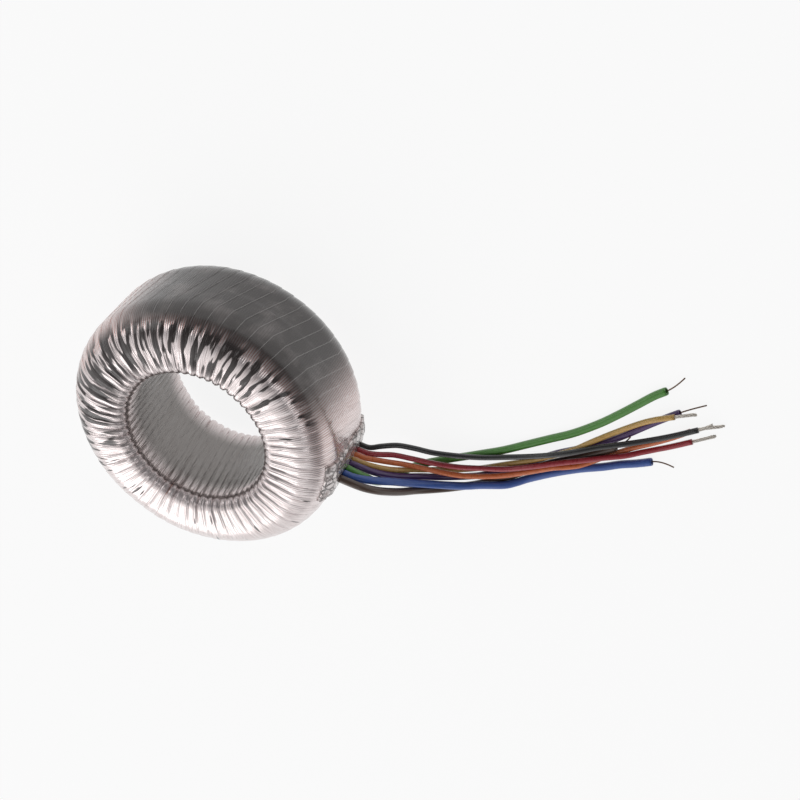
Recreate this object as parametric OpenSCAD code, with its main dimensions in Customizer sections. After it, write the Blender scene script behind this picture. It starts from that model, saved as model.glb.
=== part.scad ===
// Toroidal transformer: 80 mm across, 36 mm high, with eight free leads.
// A strip-wound core carries two primaries and two secondaries, each wound all the way round.
// A clear film strip is wound over them. Its turns lap round the rim and gather into pleats
// towards the centre hole. The leads leave under a patch of tape on the rim.
// The ring lies on one face. The origin is under its middle, and +X points to the leads.

/* [Core] */
// Outer diameter of the strip-wound core
core_outer_d = 67.5; // [64:0.5:90]
// Inner diameter of the core
core_hole_d = 52.5; // [46:0.5:56]
// Height of the core
core_h = 23; // [18:0.5:40]

/* [Windings] */
// Thickness of the core's padding on its faces and outer side
pad_t = 2.25; // [2:0.05:4]
// Thickness of the padding in the hole
pad_hole_t = 0.6; // [0.4:0.1:1.5]
// Thickness of each primary winding on the outer side
primary_t = 0.65; // [0.4:0.05:1.5]
// Thickness of each secondary winding on the outer side
secondary_t = 0.7; // [0.4:0.05:1.5]
// Thickness of the insulation between primaries and secondaries
barrier_t = 0.3; // [0.2:0.05:0.8]
// How much thicker a winding is in the hole than on the outer side
crowding = 1.3; // [1:0.05:1.6]
// Smallest edge radius of any layer
edge_r = 0.4; // [0.2:0.05:0.6]

/* [Film wrap] */
// Thickness of the film wrap on the outer side
film_t = 1; // [0.8:0.05:2]
// Radius of the shoulder between rim and face
shoulder_r = 10.5; // [9:0.5:12]
// Radius of the roll between face and hole
roll_r = 4; // [3:0.25:5]
// Number of film turns round the ring
film_turns = 60; // [40:1:66]
// Depth of a lap at the rim
lap_depth = 0.15; // [0.05:0.05:0.3]
// Depth of a pleat at the hole
pleat_depth = 0.85; // [0.3:0.05:0.9]

/* [Lead exit] */
// Angle that the exit tape covers on each side of the leads
tape_half_angle = 9; // [7:0.5:14]
// Height of the tape patch
tape_h = 27; // [24:0.5:30]
// Thickness of the tape patch away from the outlet
tape_t = 0.55; // [0.4:0.05:1]
// How far the outlet's flat face stands out from the rim
outlet_out = 1; // [0.8:0.1:3]
// Gap between the tape and the crests of the film
tape_gap = 0.1; // [0.05:0.05:0.3]

/* [Leads] */
// Diameter of the insulated stranded leads
lead_d = 1.6; // [1.2:0.1:1.6]
// Diameter of the purple sleeve
thin_sleeve_d = 2; // [1.6:0.1:2]
// Diameter of the other sleeves
sleeve_d = 2.3; // [1.8:0.1:2.3]
// Diameter of the bare stranded conductors
strand_d = 0.9; // [0.6:0.1:1.1]
// Diameter of the winding wires that leave the sleeves
wire_d = 0.4; // [0.3:0.05:0.6]

/* [Hidden] */
$fn = 96;

// Build-up over the core after each layer, as [in the hole, on the outer side, on a face]
function layer(below, hole_t, side_t, face_t) = [below[0] + hole_t, below[1] + side_t, below[2] + face_t];
function wound(below, t) = layer(below, t * crowding, t, t * (1 + crowding) / 2);
bare = [0, 0, 0];
padded = layer(bare, pad_hole_t, pad_t, pad_t);
primary_1 = wound(padded, primary_t);
primary_2 = wound(primary_1, primary_t);
barrier = layer(primary_2, barrier_t, barrier_t, barrier_t);
secondary_1 = wound(barrier, secondary_t);
secondary_2 = wound(secondary_1, secondary_t);
wrapped = layer(secondary_2, film_t * crowding, film_t, film_t);

bore_r = core_hole_d / 2 - wrapped[0];
rim_r = core_outer_d / 2 + wrapped[1];
half_h = core_h / 2 + wrapped[2];
outlet_x = rim_r + outlet_out;
arc_steps = 8;

// A ring's section: a rectangle with rounded corners, where the hole side and the outer side
// have their own radii. The corners get sharper as the layers go in, and a layer always covers
// the core's square edge: that takes an outer radius below 3.4 times its build-up.
edge_cover = 3;
function arc(x, z, r, from) =
    [for (i = [0:arc_steps]) let (a = from + 90 * i / arc_steps) [x + r * cos(a), z + r * sin(a)]];
function section(build) = let (
        hole = core_hole_d / 2 - build[0],
        side = core_outer_d / 2 + build[1],
        top = core_h / 2 + build[2],
        r_hole = max(edge_r, roll_r - (wrapped[0] - build[0])),
        r_side = min(edge_cover * build[1], max(edge_r, shoulder_r - (wrapped[1] - build[1]))))
    concat(arc(side - r_side, top - r_side, r_side, 0), arc(hole + r_hole, top - r_hole, r_hole, 90),
        arc(hole + r_hole, r_hole - top, r_hole, 180), arc(side - r_side, r_side - top, r_side, 270));

// A closed layer between two build-ups, as one turned shell
module shell(inner, outer) {
    translate([0, 0, half_h])
        rotate_extrude()
            difference() {
                polygon(section(outer));
                polygon(section(inner));
            }
}

module core() {
    color("#8a8f94")
        translate([0, 0, half_h])
            rotate_extrude()
                translate([core_hole_d / 2, -core_h / 2])
                    square([(core_outer_d - core_hole_d) / 2, core_h]);
}

module core_insulation() {
    color("#d9c9a0")
        translate([0, 0, half_h])
            rotate_extrude()
                difference() {
                    polygon(section(padded));
                    translate([core_hole_d / 2, -core_h / 2])
                        square([(core_outer_d - core_hole_d) / 2, core_h]);
                }
}

module primary_winding_1() {
    color("#8c3b22") shell(padded, primary_1);
}

module primary_winding_2() {
    color("#9c4526") shell(primary_1, primary_2);
}

module winding_barrier() {
    color("#e6dfc4") shell(primary_2, barrier);
}

module secondary_winding_1() {
    color("#a8502c") shell(barrier, secondary_1);
}

module secondary_winding_2() {
    color("#b85c34") shell(secondary_1, secondary_2);
}

// Film wrap. Each row is a point of the section, and each film turn has three columns: a crest
// from its start to its end, and the fold where the next turn laps over it. One trip round the
// section moves the pattern on by one turn, so the strip runs as a helix. In the hole the film
// lies flat: its wall is drawn a little too thick there and the bore is cut through it.
film_steps = 5;
pleat_end = 3;
wall_excess = 0.3;
roll_clearance = 0.05;
wall_half_h = half_h - roll_r - pleat_end;
column_at = [0, 0.55, 0.85];
column_depth = [0, 0, 1];

function film_arc(x, z, r, from) =
    [for (i = [0:film_steps]) let (a = from + 90 * i / film_steps) [x + r * cos(a), z + r * sin(a), a]];
film_top = concat(film_arc(rim_r - shoulder_r, half_h - shoulder_r, shoulder_r, 0),
    film_arc(bore_r + roll_clearance + roll_r, half_h - roll_r, roll_r, 90));
film_bottom = [for (i = [len(film_top) - 1:-1:0]) [film_top[i][0], -film_top[i][1], -film_top[i][2]]];
film_wall = [for (z = [wall_half_h, -wall_half_h]) [bore_r - wall_excess, z, 180]];
film_rows = concat([[rim_r, 0, 0]], film_top, film_wall, film_bottom);

function gathering(r) = max(0, min(1, (rim_r - r) / (rim_r - bore_r)));
function fold_depth(row, turn) = row[0] < bore_r ? 0
    : (lap_depth + (pleat_depth - lap_depth) * pow(gathering(row[0]), 2)) * (0.85 + 0.15 * sin(137 * turn));
function film_point(i, turn, c) = let (
        row = film_rows[i],
        d = column_depth[c] * fold_depth(row, turn),
        r = row[0] - d * cos(row[2]),
        z = row[1] - d * sin(row[2]),
        a = 360 / film_turns * (turn + column_at[c] + 0.05 * sin(77 * turn) * c + i / len(film_rows)))
    [r * cos(a), r * sin(a), z];

module pleated_ring() {
    rows = len(film_rows);
    cols = 3 * film_turns;
    points = [for (i = [0:rows - 1]) for (j = [0:cols - 1]) film_point(i, floor(j / 3), j % 3)];
    // After the last row the pattern meets the first row one turn further on
    function at(i, j) = i < rows ? i * cols + j % cols : (j + 3) % cols;
    faces = [for (i = [0:rows - 1]) for (j = [0:cols - 1])
        each [[at(i, j), at(i + 1, j), at(i, j + 1)], [at(i, j + 1), at(i + 1, j), at(i + 1, j + 1)]]];
    polyhedron(points, faces);
}

module film_wrap() {
    color("#dccfcd")
        translate([0, 0, half_h])
            difference() {
                pleated_ring();
                rotate_extrude()
                    polygon(section(secondary_2));
                cylinder(h = 3 * half_h, r = bore_r, center = true);
            }
}

// Exit tape. A grid of points over the rim: crumpled round a flat outlet, where the leads leave,
// and thin at its edges. Its back is cut to the turned shape of the wrapped ring.
outlet_h = 19;
outlet_w = 5.4;
tape_edge_t = 0.25;
straight_h = half_h - shoulder_r;
tape_half_w = rim_r * sin(tape_half_angle);
tape_across = [for (u = [-1, -0.8, -0.62]) u * tape_half_w];
tape_up = [for (v = [-1, -0.93, -0.85, -0.78]) v * tape_h / 2];
tape_y = concat(tape_across, [-outlet_w / 2, 0, outlet_w / 2], [for (i = [2:-1:0]) -tape_across[i]]);
tape_z = concat(tape_up, [for (k = [-2:2]) k * outlet_h / 4], [for (i = [3:-1:0]) -tape_up[i]]);

function rim_at(z) = abs(z) < straight_h ? rim_r
    : rim_r - shoulder_r + sqrt(pow(shoulder_r, 2) - pow(abs(z) - straight_h, 2));
function on_rim(y, z, out) = [sqrt(pow(rim_at(z) + out, 2) - y * y), y, z];
function crumple(i, j) = tape_t * (1 + 0.6 * sin(140 * i + 95 * j));
function tape_front(i, j) = let (
        y = tape_y[i],
        z = tape_z[j],
        edge = i == 0 || j == 0 || i == len(tape_y) - 1 || j == len(tape_z) - 1)
    edge ? on_rim(y, z, tape_gap + tape_edge_t)
        : abs(y) <= outlet_w / 2 && abs(z) <= outlet_h / 2 ? [outlet_x, y, z]
        : on_rim(y, z, tape_gap + crumple(i, j));

// A closed slab between two grids of points with the same number of rows and columns
module slab(front, back) {
    rows = len(front);
    cols = len(front[0]);
    function at(side, i, j) = (side * rows + i) * cols + j;
    function two(a, b, c, d) = [[a, b, c], [a, c, d]];
    polyhedron(
        [for (grid = [front, back]) for (row = grid) each row],
        concat(
            [for (i = [0:rows - 2]) for (j = [0:cols - 2]) each concat(
                two(at(0, i, j), at(0, i, j + 1), at(0, i + 1, j + 1), at(0, i + 1, j)),
                two(at(1, i, j), at(1, i + 1, j), at(1, i + 1, j + 1), at(1, i, j + 1)))],
            [for (i = [0:rows - 2]) each concat(
                two(at(0, i, 0), at(0, i + 1, 0), at(1, i + 1, 0), at(1, i, 0)),
                two(at(0, i + 1, cols - 1), at(0, i, cols - 1), at(1, i, cols - 1), at(1, i + 1, cols - 1)))],
            [for (j = [0:cols - 2]) each concat(
                two(at(0, 0, j + 1), at(0, 0, j), at(1, 0, j), at(1, 0, j + 1)),
                two(at(0, rows - 1, j), at(0, rows - 1, j + 1),
                    at(1, rows - 1, j + 1), at(1, rows - 1, j)))]));
}

module lead_exit_tape() {
    color("#cfc3c1")
        translate([0, 0, half_h])
            difference() {
                slab([for (i = [0:len(tape_y) - 1]) [for (j = [0:len(tape_z) - 1]) tape_front(i, j)]],
                    [for (y = tape_y) [for (z = tape_z) on_rim(y, z, -1)]]);
                rotate_extrude($fn = 360)
                    polygon(section(wrapped + [0, tape_gap, tape_gap]));
            }
}

// Leads. Each route starts on the outlet's face and runs over and beside the others to its end.
black_route = [[outlet_x, 0.5, 10.5], [44, 0.7, 10.4], [47, 2, 9.4], [51, 3, 7.6], [55.5, 3, 6],
    [61, 3, 4.6], [67.5, 4.5, 3.7], [74, 7, 3.4], [80.5, 10.5, 3.4], [87, 14.5, 3.8],
    [92.5, 18.5, 4.5], [98, 22.5, 4.5], [103.5, 26.5, 3.8], [109, 30, 3.2], [115, 34, 2.5],
    [120.5, 38.5, 2.5], [126, 43.5, 2.5]];
black_tip = [129, 46.5, 2];
red_route = [[outlet_x, 0, 12.3], [44, 0, 12.2], [47, 0.2, 11.2], [51, 0.5, 9.2], [55.5, 0, 7.2],
    [62, -0.3, 5], [69, 1, 3.9], [75.5, 3.7, 3.6], [82, 7, 3.8], [88.5, 11.6, 4.1],
    [94.5, 15.8, 3.8], [100.5, 19.6, 3.3], [106, 23.2, 2.9], [111, 26.2, 2.4], [115, 28.8, 1.3],
    [119, 31.8, 0.8], [122.5, 34.8, 0.8], [126, 38, 0.8]];
red_tip = [131, 42.5, 0.6];
orange_route = [[outlet_x, -0.5, 14.1], [44, -0.5, 14], [47.5, -0.7, 12.6], [51, -1.2, 10.7],
    [54, -1.7, 8.9], [57.5, -2.2, 7.2], [63.5, -2.5, 5.2], [70, -1.5, 4.2], [76.5, 1, 3.6],
    [82.5, 4.5, 3.4], [88.5, 9, 3.3], [94, 13.3, 3.2], [98, 15.5, 2.8], [101, 17.3, 2.2],
    [104, 19.8, 1.2], [107, 22.9, 0.8], [112, 28.3, 0.8], [117, 33, 0.8], [121, 37, 0.8],
    [124.5, 41, 0.8]];
orange_tip = [132, 46.5, 0.6];
yellow_route = [[outlet_x, -1, 15.9], [44, -1, 15.8], [47.5, -1.8, 14.3], [51, -2.8, 12],
    [54, -3.7, 9.3], [57, -3.9, 7], [60.5, -4.1, 4.5], [64.5, -3.6, 2.4], [69, -2.2, 1.2],
    [75, 1.3, 0.8], [81.5, 7, 1.7], [87.5, 12.2, 2.6], [93.5, 17.7, 2.8], [98, 22.3, 2.8],
    [101.5, 26.7, 2.6], [106, 31.7, 1.8], [111, 37.5, 1.9], [114.5, 41.2, 2.4], [119, 44.8, 2.8]];
yellow_tip = [124, 48, 2.4];
purple_route = [[outlet_x, -1, 17.9], [44, -1, 17.8], [47.5, -2, 16.5], [51, -3.4, 14],
    [54, -4.6, 11.3], [57, -5.3, 8.7], [60.5, -5.6, 6], [64.5, -5.6, 3.6], [69, -4.6, 1.8],
    [73, -2.8, 1], [77, 0, 1], [82, 4.7, 1], [88, 11, 1], [93.5, 16.8, 1], [99.5, 22, 1],
    [105, 27.2, 1], [109, 31.8, 1], [114, 38.3, 1], [117, 42, 1], [120, 45.5, 1]];
purple_tip = [125.5, 50.5, 0.5];
green_route = [[outlet_x, -1, 20.3], [43.9, -1.4, 20.3], [47.2, -2.5, 19.2], [49.3, -4.3, 17.2],
    [51, -5.8, 14.2], [52.5, -6.4, 10.9], [54.3, -6, 7.7], [56.7, -4.7, 4.8], [60, -3, 2.7],
    [64, -0.7, 1.5], [68.5, 2.5, 1.15], [74, 6.7, 1.15], [79.5, 11, 1.15], [85, 16, 1.15],
    [90.5, 21, 1.15], [96, 26, 1.15], [101.5, 32.3, 1.15], [105.5, 37.8, 1.15], [109, 43, 1.15],
    [112, 47.5, 1.15], [114.5, 50.5, 1.15]];
green_tip = [117.5, 56, 0.5];
blue_route = [[outlet_x, -1, 22.8], [44, -1, 22.8], [47.5, -1.2, 21.5], [51, -2, 18.8],
    [54, -3, 15.9], [57, -4.2, 13], [60, -5.2, 10.2], [64, -6, 7.1], [68.5, -5.8, 4.9],
    [73, -4.5, 3.8], [77, -2.3, 3.5], [83, 0.8, 3.3], [86, 2.7, 2.4], [89, 5, 1.3],
    [95, 10.3, 1.15], [101, 15, 1.15], [107, 19, 1.15], [111, 22, 1.15], [115, 24.5, 1.15],
    [118.5, 27, 1.15]];
blue_tip = [124.5, 27.5, 0.5];
brown_route = [[outlet_x, -1, 25.3], [44.5, -1.1, 25.2], [48, -1.9, 24.1], [51.5, -3.5, 21.3],
    [54.5, -5.2, 17.8], [57.2, -6.7, 14.2], [60, -7.8, 10.5], [64, -8.4, 6.7], [68, -8.2, 3.7],
    [72, -6.8, 1.8], [76.5, -3.8, 1.15], [82.5, 1.8, 1.15], [88, 7.8, 1.15], [94, 13.8, 1.15],
    [100, 18.9, 1.15], [105, 23.8, 1.15], [108, 27, 1.15]];
brown_tip = [110.5, 33.5, 3.2];

function unit(v) = v / norm(v);
function end_way(route) = unit(route[len(route) - 1] - route[len(route) - 2]);

// A round lead of eight sides, swept along its route. Its first ring faces the given way.
module tube(route, d, start) {
    last = len(route) - 1;
    function way(i) = i == 0 ? start : i == last ? end_way(route) : unit(route[i + 1] - route[i - 1]);
    function ring(i) = let (
            side = unit(cross([0, 0, 1], way(i))),
            up = cross(way(i), side))
        [for (k = [0:7]) route[i] + d / 2 * (cos(45 * k) * side + sin(45 * k) * up)];
    polyhedron(
        [for (i = [0:last]) each ring(i)],
        concat(
            [[for (k = [0:7]) k], [for (k = [7:-1:0]) 8 * last + k]],
            [for (i = [0:last - 1]) for (k = [0:7]) let (a = 8 * i + k, b = 8 * i + (k + 1) % 8)
                each [[a, a + 8, b + 8], [a, b + 8, b]]]));
}

module lead(route, d) {
    tube(route, d, [1, 0, 0]);
}

// The bare end of a lead: it leaves straight, then runs on to its tip
module bare_end(route, tip, d) {
    end = route[len(route) - 1];
    tube([end, end + 1.5 * end_way(route), tip], d, end_way(route));
}

module black_lead() {
    color("#28282a") lead(black_route, lead_d);
}

module red_lead() {
    color("#a52832") lead(red_route, lead_d);
}

module orange_lead() {
    color("#d76e3c") lead(orange_route, lead_d);
}

module yellow_lead() {
    color("#cda53c") lead(yellow_route, lead_d);
}

module purple_sleeve() {
    color("#4b3264") lead(purple_route, thin_sleeve_d);
}

module green_sleeve() {
    color("#468c32") lead(green_route, sleeve_d);
}

module blue_sleeve() {
    color("#3255a5") lead(blue_route, sleeve_d);
}

module brown_sleeve() {
    color("#463228") lead(brown_route, sleeve_d);
}

module black_conductor() {
    color("silver") bare_end(black_route, black_tip, strand_d);
}

module red_conductor() {
    color("silver") bare_end(red_route, red_tip, strand_d);
}

module orange_conductor() {
    color("silver") bare_end(orange_route, orange_tip, strand_d);
}

module yellow_conductor() {
    color("silver") bare_end(yellow_route, yellow_tip, strand_d);
}

module purple_wire() {
    color("#7a4a30") bare_end(purple_route, purple_tip, wire_d);
}

module green_wire() {
    color("#7a4a30") bare_end(green_route, green_tip, wire_d);
}

module blue_wire() {
    color("#7a4a30") bare_end(blue_route, blue_tip, wire_d);
}

module brown_wire() {
    color("#7a4a30") bare_end(brown_route, brown_tip, wire_d);
}

core();
core_insulation();
primary_winding_1();
primary_winding_2();
winding_barrier();
secondary_winding_1();
secondary_winding_2();
film_wrap();
lead_exit_tape();
black_lead();
red_lead();
orange_lead();
yellow_lead();
purple_sleeve();
green_sleeve();
blue_sleeve();
brown_sleeve();
black_conductor();
red_conductor();
orange_conductor();
yellow_conductor();
purple_wire();
green_wire();
blue_wire();
brown_wire();
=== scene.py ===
# %% [markdown]
# A toroidal transformer, dressed in Blender over its CAD frame.
# The ring lies on one face. A clear film strip is wound round it, a lump of tape holds the leads
# on its rim, and eight coloured leads lie on the floor in a loose bundle.
# Units are metres, +Z is up, and +X points from the ring's middle to the leads.

# %% Load the CAD frame and note its box
import math
import bpy
import numpy as np
from mathutils import Matrix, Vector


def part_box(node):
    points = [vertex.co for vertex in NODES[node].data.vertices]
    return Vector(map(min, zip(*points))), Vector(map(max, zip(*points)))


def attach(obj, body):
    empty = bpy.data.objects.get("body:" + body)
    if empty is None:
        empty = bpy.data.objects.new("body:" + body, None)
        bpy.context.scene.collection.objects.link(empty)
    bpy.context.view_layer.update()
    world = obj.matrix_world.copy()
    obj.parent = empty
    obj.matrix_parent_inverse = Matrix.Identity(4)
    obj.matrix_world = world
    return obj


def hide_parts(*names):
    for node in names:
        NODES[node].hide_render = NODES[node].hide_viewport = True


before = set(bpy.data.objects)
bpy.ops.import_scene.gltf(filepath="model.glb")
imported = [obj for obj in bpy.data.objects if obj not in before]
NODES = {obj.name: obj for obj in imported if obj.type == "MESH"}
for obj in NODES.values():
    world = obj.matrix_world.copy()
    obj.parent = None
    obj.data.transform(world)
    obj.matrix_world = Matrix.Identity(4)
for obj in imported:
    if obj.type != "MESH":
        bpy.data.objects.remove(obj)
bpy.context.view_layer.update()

MM = 0.001

# %% [markdown]
# The camera comes first, because the cord rules ask what it sees. It is turned by three unit
# vectors, so that the ring seems to stand up although it lies on the floor.

# %% Camera
CAMERA_PLACE = (0.1020, 0.2721, 0.3192)
CAMERA_RIGHT = (0.9172, 0.2163, -0.3345)
CAMERA_BACK = (0.1331, 0.6252, 0.7691)


def turned_frame(right, back):
    """A 4x4 matrix whose columns are right, up and back, where up = back x right."""
    back = np.array(back) / np.linalg.norm(back)
    right = np.array(right) - back * np.dot(right, back)
    right /= np.linalg.norm(right)
    return Matrix(np.column_stack([right, np.cross(back, right), back]).tolist()).to_4x4()


camera = bpy.data.objects.new("camera", bpy.data.cameras.new("camera"))
camera.data.lens = 65.47
camera.matrix_world = Matrix.Translation(CAMERA_PLACE) @ turned_frame(CAMERA_RIGHT, CAMERA_BACK)
bpy.context.scene.collection.objects.link(camera)
bpy.context.scene.camera = camera
bpy.context.scene.view_settings.view_transform = "Standard"

# %% [markdown]
# Every new piece here is a surface with two parameters, worked out on a grid with numpy. The
# grid's rows and columns become quads, and each corner keeps its place on the grid, so that a
# map can run across a closed seam without a jump.

# %% Grids that become meshes
def grid_quads(rows, cols, wrap_rows=False):
    """Quads of a grid whose columns close into a ring, and the row and column of each corner.

    A quad runs (i, j), (i, j + 1), (i + 1, j + 1), (i + 1, j). It faces out where the columns
    run anticlockwise about the direction of the rows.
    """
    i, j = np.meshgrid(np.arange(rows if wrap_rows else rows - 1), np.arange(cols), indexing="ij")
    row = i[..., None] + np.array([0, 0, 1, 1])
    col = j[..., None] + np.array([0, 1, 1, 0])
    return (row % rows * cols + col % cols).reshape(-1, 4), row.reshape(-1, 4), col.reshape(-1, 4)


def mesh_piece(name, points, quads, caps=(), uv=None):
    """A smooth mesh object from arrays. uv holds a pair of values for each corner of the quads."""
    mesh = bpy.data.meshes.new(name)
    mesh.from_pydata(points.tolist(), [], quads.tolist() + [cap.tolist() for cap in caps])
    mesh.shade_smooth()
    if uv is not None:
        corners = np.zeros((len(mesh.loops), 2))
        corners[:uv.size // 2] = uv.reshape(-1, 2)
        mesh.uv_layers.new(name="map").data.foreach_set("uv", corners.ravel())
    piece = bpy.data.objects.new(name, mesh)
    bpy.context.scene.collection.objects.link(piece)
    return piece


# %% Random numbers that run on smoothly
def lattice(i, seed):
    """A fixed random number from 0 to 1 for each whole number i: the fraction of a large sine."""
    return np.modf(np.abs(np.sin(i * 12.9898 + seed * 78.233) * 43758.5453))[0]


def drift(x, seed):
    """Smooth noise from 0 to 1 along x: the lattice's numbers, eased from one to the next."""
    i = np.floor(x)
    t = x - i
    t = t * t * (3 - 2 * t)
    return lattice(i, seed) * (1 - t) + lattice(i + 1, seed) * t


def bumps(x, y, period, seed):
    """Smooth noise from 0 to 1 over the plane, which repeats after a whole period of x."""
    j = np.floor(y)
    t = y - j
    t = t * t * (3 - 2 * t)
    i = np.floor(x)
    e = x - i
    e = e * e * (3 - 2 * e)
    corner = [[lattice(np.mod(i + a, period) + 57 * (j + b), seed) for b in (0, 1)] for a in (0, 1)]
    low = corner[0][0] * (1 - e) + corner[1][0] * e
    high = corner[0][1] * (1 - e) + corner[1][1] * e
    return low * (1 - t) + high * t


# %% [markdown]
# The leads are limp cords. Four are stranded wire in thin PVC, and four are sleeves over the
# ends of the winding wire. Each one follows a given list of points: out of the tape,
# down under its own weight, and on along the floor over its neighbours. A smooth curve through
# the points carries a round section. A curve object with a bevel could do that too, but a
# worked-out mesh can have an open mouth and a pattern that follows the length.

# %% Routes of the leads
BLACK_ROUTE = [
    (0.041, 0.0005, 0.0105), (0.044, 0.0007, 0.0104), (0.047, 0.002, 0.0094), (0.051, 0.003, 0.0076),
    (0.0555, 0.003, 0.006), (0.061, 0.003, 0.0046), (0.0675, 0.0045, 0.0037), (0.074, 0.007, 0.0034),
    (0.0805, 0.0105, 0.0034), (0.087, 0.0145, 0.0038), (0.0925, 0.0185, 0.0045), (0.098, 0.0225, 0.0045),
    (0.1035, 0.0265, 0.0038), (0.109, 0.03, 0.0032), (0.115, 0.034, 0.0025), (0.1205, 0.0385, 0.0025),
    (0.126, 0.0435, 0.0025),
]
BLACK_TIP = (0.129, 0.0465, 0.002)
RED_ROUTE = [
    (0.041, 0.0, 0.0123), (0.044, 0.0, 0.0122), (0.047, 0.0002, 0.0112), (0.051, 0.0005, 0.0092),
    (0.0555, 0.0, 0.0072), (0.062, -0.0003, 0.005), (0.069, 0.001, 0.0039), (0.0755, 0.0037, 0.0036),
    (0.082, 0.007, 0.0038), (0.0885, 0.0116, 0.0041), (0.0945, 0.0158, 0.0038), (0.1005, 0.0196, 0.0033),
    (0.106, 0.0232, 0.0029), (0.111, 0.0262, 0.0024), (0.115, 0.0288, 0.0013), (0.119, 0.0318, 0.0008),
    (0.1225, 0.0348, 0.0008), (0.126, 0.038, 0.0008),
]
RED_TIP = (0.131, 0.0425, 0.0006)
ORANGE_ROUTE = [
    (0.041, -0.0005, 0.0141), (0.044, -0.0005, 0.014), (0.0475, -0.0007, 0.0126), (0.051, -0.0012, 0.0107),
    (0.054, -0.0017, 0.0089), (0.0575, -0.0022, 0.0072), (0.0635, -0.0025, 0.0052), (0.07, -0.0015, 0.0042),
    (0.0765, 0.001, 0.0036), (0.0825, 0.0045, 0.0034), (0.0885, 0.009, 0.0033), (0.094, 0.0133, 0.0032),
    (0.098, 0.0155, 0.0028), (0.101, 0.0173, 0.0022), (0.104, 0.0198, 0.0012), (0.107, 0.0229, 0.0008),
    (0.112, 0.0283, 0.0008), (0.117, 0.033, 0.0008), (0.121, 0.037, 0.0008), (0.1245, 0.041, 0.0008),
]
ORANGE_TIP = (0.132, 0.0465, 0.0006)
YELLOW_ROUTE = [
    (0.041, -0.001, 0.0159), (0.044, -0.001, 0.0158), (0.0475, -0.0018, 0.0143), (0.051, -0.0028, 0.012),
    (0.054, -0.0037, 0.0093), (0.057, -0.0039, 0.007), (0.0605, -0.0041, 0.0045), (0.0645, -0.0036, 0.0024),
    (0.069, -0.0022, 0.0012), (0.075, 0.0013, 0.0008), (0.0815, 0.007, 0.0017), (0.0875, 0.0122, 0.0026),
    (0.0935, 0.0177, 0.0028), (0.098, 0.0223, 0.0028), (0.1015, 0.0267, 0.0026), (0.106, 0.0317, 0.0018),
    (0.111, 0.0375, 0.0019), (0.1145, 0.0412, 0.0024), (0.119, 0.0448, 0.0028),
]
YELLOW_TIP = (0.124, 0.048, 0.0024)
PURPLE_ROUTE = [
    (0.041, -0.001, 0.0179), (0.044, -0.001, 0.0178), (0.0475, -0.002, 0.0165), (0.051, -0.0034, 0.014),
    (0.054, -0.0046, 0.0113), (0.057, -0.0053, 0.0087), (0.0605, -0.0056, 0.006), (0.0645, -0.0056, 0.0036),
    (0.069, -0.0046, 0.0018), (0.073, -0.0028, 0.001), (0.077, 0.0, 0.001), (0.082, 0.0047, 0.001),
    (0.088, 0.011, 0.001), (0.0935, 0.0168, 0.001), (0.0995, 0.022, 0.001), (0.105, 0.0272, 0.001),
    (0.109, 0.0318, 0.001), (0.114, 0.0383, 0.001), (0.117, 0.042, 0.001), (0.12, 0.0455, 0.001),
]
PURPLE_TIP = (0.1255, 0.0505, 0.0005)
GREEN_ROUTE = [
    (0.041, -0.001, 0.0203), (0.0439, -0.0014, 0.0203), (0.0472, -0.0025, 0.0192), (0.0493, -0.0043, 0.0172),
    (0.051, -0.0058, 0.0142), (0.0525, -0.0064, 0.0109), (0.0543, -0.006, 0.0077), (0.0567, -0.0047, 0.0048),
    (0.06, -0.003, 0.0027), (0.064, -0.0007, 0.0015), (0.0685, 0.0025, 0.00115), (0.074, 0.0067, 0.00115),
    (0.0795, 0.011, 0.00115), (0.085, 0.016, 0.00115), (0.0905, 0.021, 0.00115), (0.096, 0.026, 0.00115),
    (0.1015, 0.0323, 0.00115), (0.1055, 0.0378, 0.00115), (0.109, 0.043, 0.00115), (0.112, 0.0475, 0.00115),
    (0.1145, 0.0505, 0.00115),
]
GREEN_TIP = (0.1175, 0.056, 0.0005)
BLUE_ROUTE = [
    (0.041, -0.001, 0.0228), (0.044, -0.001, 0.0228), (0.0475, -0.0012, 0.0215), (0.051, -0.002, 0.0188),
    (0.054, -0.003, 0.0159), (0.057, -0.0042, 0.013), (0.06, -0.0052, 0.0102), (0.064, -0.006, 0.0071),
    (0.0685, -0.0058, 0.0049), (0.073, -0.0045, 0.0038), (0.077, -0.0023, 0.0035), (0.083, 0.0008, 0.0033),
    (0.086, 0.0027, 0.0024), (0.089, 0.005, 0.0013), (0.095, 0.0103, 0.00115), (0.101, 0.015, 0.00115),
    (0.107, 0.019, 0.00115), (0.111, 0.022, 0.00115), (0.115, 0.0245, 0.00115), (0.1185, 0.027, 0.00115),
]
BLUE_TIP = (0.1245, 0.0275, 0.0005)
BROWN_ROUTE = [
    (0.041, -0.001, 0.0253), (0.0445, -0.0011, 0.0252), (0.048, -0.0019, 0.0241), (0.0515, -0.0035, 0.0213),
    (0.0545, -0.0052, 0.0178), (0.0572, -0.0067, 0.0142), (0.06, -0.0078, 0.0105), (0.064, -0.0084, 0.0067),
    (0.068, -0.0082, 0.0037), (0.072, -0.0068, 0.0018), (0.0765, -0.0038, 0.00115), (0.0825, 0.0018, 0.00115),
    (0.088, 0.0078, 0.00115), (0.094, 0.0138, 0.00115), (0.1, 0.0189, 0.00115), (0.105, 0.0238, 0.00115),
    (0.108, 0.027, 0.00115),
]
BROWN_TIP = (0.1105, 0.0335, 0.0032)

# %% A smooth path through the points of a route
FLOOR = 0.0


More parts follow.
